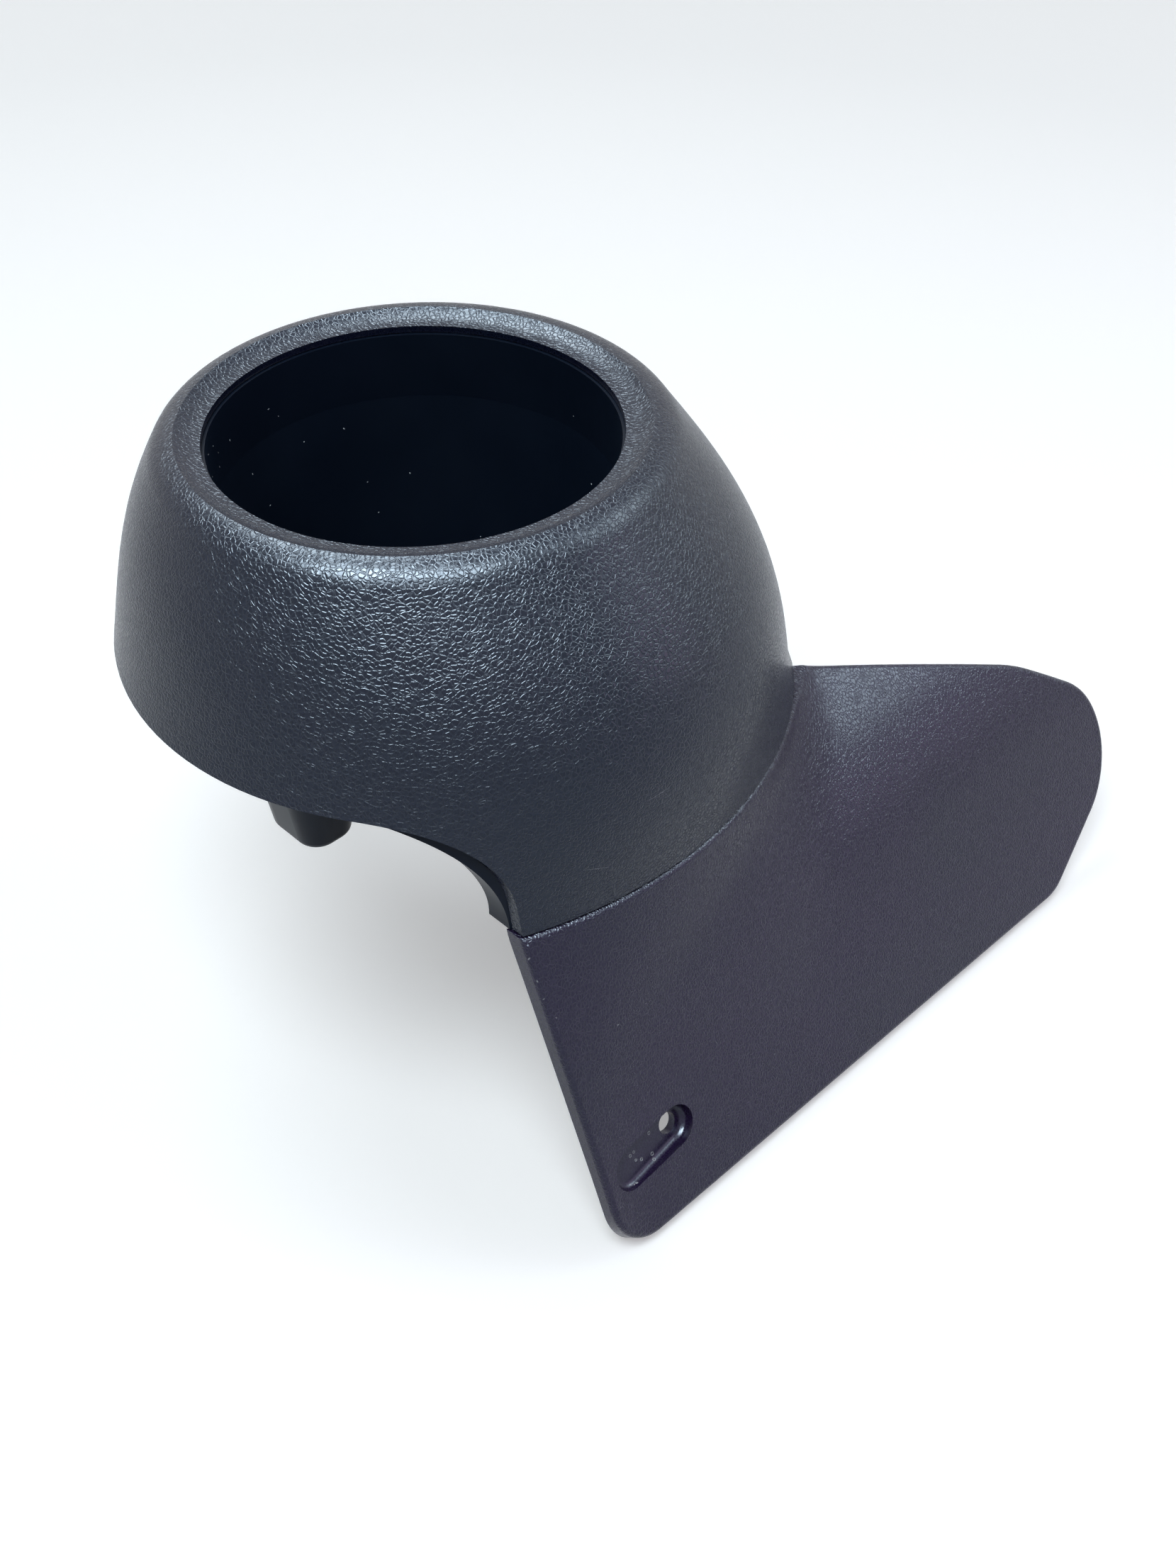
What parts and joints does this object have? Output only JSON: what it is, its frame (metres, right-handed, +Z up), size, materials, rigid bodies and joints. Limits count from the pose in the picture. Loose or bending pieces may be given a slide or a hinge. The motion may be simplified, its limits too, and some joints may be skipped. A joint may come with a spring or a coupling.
{
  "type": "car cup holder",
  "caption": "Black grained plastic car cup holder: a ring shroud with a cup liner on a neck that ends in a flange bracket for a console's corner.",
  "frame": {"origin": "centre of the cup liner's throat at its top edge, just inside the mouth", "axes": "+Z up along the cup's axis; +X along the flange's straight bottom edge, towards its ear; -Y towards the side that the flange faces"},
  "size_m": [0.2055, 0.1567, 0.1412],
  "materials": {
    "grained_black": "grained",
    "smooth_black": "satin"
  },
  "bodies": {
    "root": {"shroud": "grained_black", "bracket": "grained_black", "cup_liner": "smooth_black", "neck_backing": "smooth_black"}
  },
  "joints": []
}
